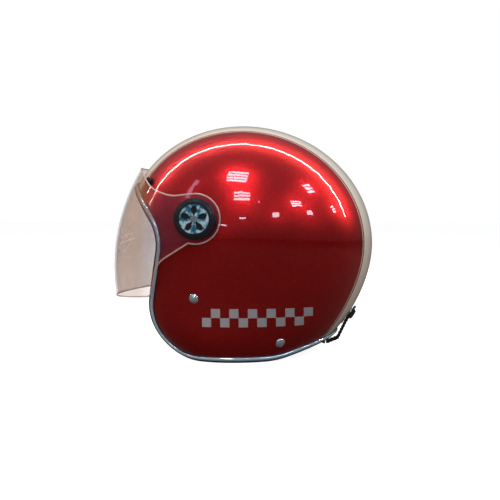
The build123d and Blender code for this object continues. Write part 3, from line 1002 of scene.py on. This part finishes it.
def add_leather(name, corners, radii, node, body, round_end):
    """A strip of leather along a side view route, with a stitched line down both edges."""
    route = spaced(rounded_path(corners, radii, 0.8), 0.8)
    middles = [at(p.x, 0, p.y) for p in route]
    ups = [along.cross(Vector((0, 1, 0))) for along in frames_along(middles, False)]
    strip = band(name, middles, ups, LEATHER_WIDTH * MM, LEATHER_THICKNESS * MM, round_end=round_end)
    dress(strip, body, LOOKS["black_leather"], "black_leather", node)
    stitched = slice(2, -11 if round_end else -2)
    for edge in (-LEATHER_SEAM, LEATHER_SEAM):
        for face in (-1, 1):
            outs = [u * face for u in ups[stitched]]
            line = [p + Vector((0, edge * MM, 0)) + u * LEATHER_THICKNESS / 2 * MM
                    for p, u in zip(middles[stitched], outs)]
            thread = stitches(f"stitch_{name}_{int(edge)}_{face}", line, outs)
            dress(thread, body, THREAD, "webbing")


def add_retainer():
    """The tab inside the shell and the flap that folds up outside it to the snap."""
    snap, out = rear_place(0, SNAP_Z)
    up = Vector((-out.y, out.x))
    tab = [rear_place(TAB_INSET, z)[0] for z in (-73.0, -88.0, -102.5)] + [FOLD + Vector((-1.3, -0.2))]
    add_leather("retainer_tab_leather", tab, [40.0, 3.0], "retainer_tab", "helmet", False)
    face = snap + out * FLAP_STANDOFF
    flap = [FOLD, Vector((93.4, -100.4)), face - up * 9.0, face + up * 10.0]
    add_leather("retainer_flap_leather", flap, [5.0, 20.0], "retainer_flap", "retainer", True)


# ---- Visor edge ----------------------------------------------------------------------

PIVOT = Vector((-52.3, 35.0))
EAR_RADIUS = 25.3
VISOR_FRONT_RADIUS = 215.0
VISOR_FRONT = Vector((-158.3, -25.0))
VISOR_HALF_WIDTH = 117.0
VISOR_CURVE = 400.0
VISOR_TOP = [(-200.0, 89.0), (-121.5, 89.0), (-99.0, 65.0), (-78.0, 57.8)]
VISOR_BOTTOM = [(-94.0, -10.8), (-103.4, -46.5), (-200.0, -56.8)]
EDGE_INSET = 1.0
EDGE_RADIUS = 0.00085


def visor_side(x, z):
    """Half width of the visor's outer face at a side view point, or None in front of it."""
    front = VISOR_FRONT.x + VISOR_FRONT_RADIUS
    front -= math.sqrt(VISOR_FRONT_RADIUS**2 - (z - VISOR_FRONT.y) ** 2)
    share = max((PIVOT.x - x) / (PIVOT.x - front), 0.0)
    if share >= 1:
        return None
    return (VISOR_HALF_WIDTH - (z - PIVOT.y) ** 2 / VISOR_CURVE) * math.sqrt(1 - share**2)


def add_visor_edge():
    """The polished edge of the visor sheet, coloured pale all round as a painted highlight."""
    upper = rounded_path(VISOR_TOP + [(PIVOT.x, PIVOT.y + EAR_RADIUS)], [9.0, 26.0, 30.0], 1.0)
    ear = [PIVOT + Vector((math.sin(a), math.cos(a))) * EAR_RADIUS for a in np.linspace(0.02, 3.42, 80)]
    lower = rounded_path([tuple(ear[-1])] + VISOR_BOTTOM, [25.0, 6.0], 1.0)
    outline = upper + ear + lower
    side = []
    for start, end in zip(outline, outline[1:]):
        count = max(int((end - start).length / 0.1), 1)
        for i in range(count):
            x, z = start.lerp(end, i / count)
            y = visor_side(x, z)
            if y is not None:
                side.append(Vector((x, -(y - EDGE_INSET), z)))
    loop = even_loop(side + [Vector((p.x, -p.y, p.z)) for p in reversed(side)], 1.6)
    bead = tube("visor_edge", [at(*p) for p in loop], EDGE_RADIUS, closed=True)
    dress(bead, "visor", visor_edge_painted_highlight(), "visor_sheet")


def visor_edge_painted_highlight():
    """The sawn and polished edge of clear sheet: a pale, warm, bright painted highlight."""
    look = Look("visor_edge", Roughness=0.25, Alpha=0.55, Coat_Weight=1.0)
    # The pale warm colour is a painted highlight along the edge of the sheet.
    look.colour(look.blend(look.noise(60.0, 4.0), (0.80, 0.66, 0.58), (0.66, 0.52, 0.46)))
    return look.material


for side, name in ((-1, "left"), (1, "right")):
    add_cheek_pad(side, name)
    add_anchor(side, name)
add_neck_roll()
add_comfort_lining()
add_chin_strap(1, "right", TONGUE_STRAP_END)
add_chin_strap(-1, "left", HOUSING_STRAP_END)
add_retainer()
add_visor_edge()


# ---- Stage, lights and camera --------------------------------------------------------

VIEW_AZIMUTH = math.radians(4.0)
VIEW_ELEVATION = math.radians(3.0)
VIEW_DISTANCE = 1.0
SENSOR = 36.0
LENS = 63.72
SHIFT_X = -0.010
SHIFT_Y = -0.004
BACKDROP = 1.0
ROOM_LOW = (0.035, 0.030, 0.028)
ROOM_HIGH = (0.20, 0.21, 0.23)
FLOOR_IN_PAINT = (0.080, 0.042, 0.032)
FLOOR_GLOW = 0.90
FLOOR_HALF = 6.0
LIGHT_DISTANCE = 1.5
FILL_DISTANCE = 2.4
DAYLIGHT = (0.78, 0.86, 1.0)
LAMPLIGHT = (1.0, 0.95, 0.88)

ARCH_STRIPS = 15
ARCH_REAR, ARCH_FRONT = math.radians(20), math.radians(157)
ARCH_STRIP_SIZE = (0.26, 0.016)
SLAT_SHARE = 0.62
FAR_LIGHT_POWER = 48.0


def add_camera():
    """The camera a metre from the head's centre, looking at the wearer's left side."""
    camera = bpy.data.cameras.new("camera")
    camera.sensor_width = SENSOR
    camera.lens = LENS
    camera.shift_x = SHIFT_X
    camera.shift_y = SHIFT_Y
    holder = bpy.data.objects.new("camera", camera)
    bpy.context.scene.collection.objects.link(holder)
    back = Vector((
        math.sin(VIEW_AZIMUTH) * math.cos(VIEW_ELEVATION),
        -math.cos(VIEW_AZIMUTH) * math.cos(VIEW_ELEVATION),
        math.sin(VIEW_ELEVATION),
    ))
    holder.location = HEAD_CENTRE + back * VIEW_DISTANCE
    holder.rotation_euler = back.to_track_quat("Z", "Y").to_euler()
    bpy.context.scene.camera = holder


def add_panel(name, direction, size, power, colour=DAYLIGHT, distance=LIGHT_DISTANCE):
    """A rectangular light, placed in a direction from the head's centre and facing it."""
    light = bpy.data.lights.new(name, "AREA")
    light.shape = "RECTANGLE"
    light.size, light.size_y = size
    light.energy = power
    light.color = colour
    holder = bpy.data.objects.new(name, light)
    bpy.context.scene.collection.objects.link(holder)
    direction = Vector(direction).normalized()
    holder.location = HEAD_CENTRE + direction * distance
    holder.rotation_euler = direction.to_track_quat("Z", "Y").to_euler()
    return holder


def add_arch():
    """An arch of strip lights over the helmet: its reflection is the long arc under the crown."""
    for i in range(ARCH_STRIPS):
        share = i / (ARCH_STRIPS - 1)
        angle = ARCH_REAR + (ARCH_FRONT - ARCH_REAR) * share
        aside = 0.06 + 0.17 * math.sin(angle)
        direction = Vector((math.cos(angle), aside, math.sin(angle))).normalized()
        panel = add_panel(f"arch_{i}", direction, ARCH_STRIP_SIZE, 1.9 - 0.9 * share, LAMPLIGHT)
        tangent = Vector((-math.sin(angle), 0, math.cos(angle)))
        up = direction.cross(tangent).normalized()
        panel.matrix_world = matrix_from_axes(up.cross(direction), up, direction, panel.location)


def add_soft_fill(name, direction, size, power, colour):
    """A broad light that brightens matt surfaces and leaves no reflection in the paint."""
    add_panel(name, direction, size, power, colour, FILL_DISTANCE).visible_glossy = False


def add_louvre(name, direction, size, power, slats=3):
    """A ceiling light behind a louvre: a pale blue rectangle cut into slats."""
    width, height = size
    pitch = height / slats
    for i in range(slats):
        slat = add_panel(f"{name}_{i}", direction, (width, pitch * SLAT_SHARE), power / slats)
        from_middle = (i - (slats - 1) / 2) * pitch
        slat.location += slat.rotation_euler.to_matrix() @ Vector((0, from_middle, 0))


def matrix_from_axes(x_axis, y_axis, z_axis, origin):
    """A placing matrix from its three directions and its origin."""
    columns = Matrix((x_axis, y_axis, z_axis)).transposed().to_4x4()
    columns.translation = origin
    return columns


def add_world():
    """A pale backdrop for the eye and a dimmer, cooler room for the reflections."""
    world = bpy.data.worlds.new("room")
    bpy.context.scene.world = world
    world.use_nodes = True
    nodes = world.node_tree.nodes
    links = world.node_tree.links
    background = nodes["Background"]
    place = nodes.new("ShaderNodeTexCoord").outputs["Generated"]
    axes = nodes.new("ShaderNodeSeparateXYZ")
    links.new(place, axes.inputs[0])
    ramp = nodes.new("ShaderNodeValToRGB")
    ramp.color_ramp.elements[0].position = 0.30
    ramp.color_ramp.elements[0].color = (*ROOM_LOW, 1)
    ramp.color_ramp.elements[1].position = 0.95
    ramp.color_ramp.elements[1].color = (*ROOM_HIGH, 1)
    height = nodes.new("ShaderNodeMapRange")
    height.inputs["From Min"].default_value = -1.0
    links.new(axes.outputs["Z"], height.inputs["Value"])
    links.new(height.outputs[0], ramp.inputs[0])
    seen = nodes.new("ShaderNodeLightPath").outputs["Is Camera Ray"]
    mix = nodes.new("ShaderNodeMix")
    mix.data_type = "RGBA"
    mix.inputs[7].default_value = (BACKDROP, BACKDROP, BACKDROP, 1)
    links.new(seen, mix.inputs[0])
    links.new(ramp.outputs[0], mix.inputs[6])
    links.new(mix.outputs[2], background.inputs["Color"])


def add_floor():
    """A plain pale floor that reflects only dimly in the paint."""
    look = Look("floor", Roughness=0.9)
    pale = look.blend(look.noise(3.0), (0.40, 0.40, 0.40), (0.44, 0.44, 0.44))
    seen = look.nodes.new("ShaderNodeLightPath").outputs["Is Camera Ray"]
    look.colour(look.blend(seen, FLOOR_IN_PAINT, pale))
    glow = look.blend(seen, (0.0, 0.0, 0.0), (1.0, 1.0, 1.0))
    look.link(glow, look.shader.inputs["Emission Color"])
    look.shader.inputs["Emission Strength"].default_value = FLOOR_GLOW
    half = FLOOR_HALF
    corners = [(-half, -half, 0), (half, -half, 0), (half, half, 0), (-half, half, 0)]
    floor = add_mesh("floor", corners, [(0, 1, 2, 3)])
    floor.data.materials.append(look.material)


# Ceiling lights behind louvres: direction from the helmet, width and height, power, slats.
LOUVRES = {
    "overhead": ((-0.12, -0.585, 0.802), (0.38, 0.34), 5.6, 4),
    "overhead_front": ((-0.07, -0.83, 0.553), (0.30, 0.22), 2.4, 3),
    "rear_upper": ((0.709, -0.282, 0.647), (0.20, 0.22), 2.0, 3),
    "rear_side": ((0.615, -0.638, 0.464), (0.24, 0.14), 1.6, 3),
    "rear_low": ((0.923, -0.102, 0.372), (0.09, 0.14), 0.7, 3),
}

# Small lights far off in the room: direction from the helmet, then width and height.
FAR_LIGHTS = (
    ((0.15, -0.86, 0.48), (0.035, 0.035)),
    ((0.37, -0.87, 0.32), (0.13, 0.08)),
    ((0.76, -0.55, 0.34), (0.13, 0.09)),
    ((-0.06, -0.96, 0.28), (0.13, 0.035)),
    ((-0.32, -0.93, 0.17), (0.17, 0.03)),
)


def add_lights():
    """Everything that lights the helmet: some of it seen in the paint, some of it only soft fill."""
    add_arch()
    for name, louvre in LOUVRES.items():
        add_louvre(name, *louvre)
    add_panel("brow_streak", (-0.66, -0.46, 0.60), (0.10, 0.40), 0.5, (0.75, 0.65, 1.0))
    add_soft_fill("low_fill", (0.0, -1.0, 0.06), (2.4, 0.30), 6.0, (0.80, 0.92, 1.0))
    add_soft_fill("side_fill", (-0.55, -0.80, 0.10), (1.0, 1.4), 9.0, (1.0, 0.92, 0.86))
    add_soft_fill("top_fill", (-0.62, -0.30, 0.72), (0.8, 0.8), 10.0, (1.0, 0.84, 0.70))
    add_soft_fill("front_fill", (-0.93, -0.12, 0.35), (0.8, 0.8), 11.0, (1.0, 0.46, 0.20))
    for index, (direction, size) in enumerate(FAR_LIGHTS):
        add_panel(f"far_light_{index}", direction, size, FAR_LIGHT_POWER * size[0] * size[1])


bpy.context.scene.view_settings.view_transform = "Standard"
add_camera()
add_world()
add_floor()
add_lights()
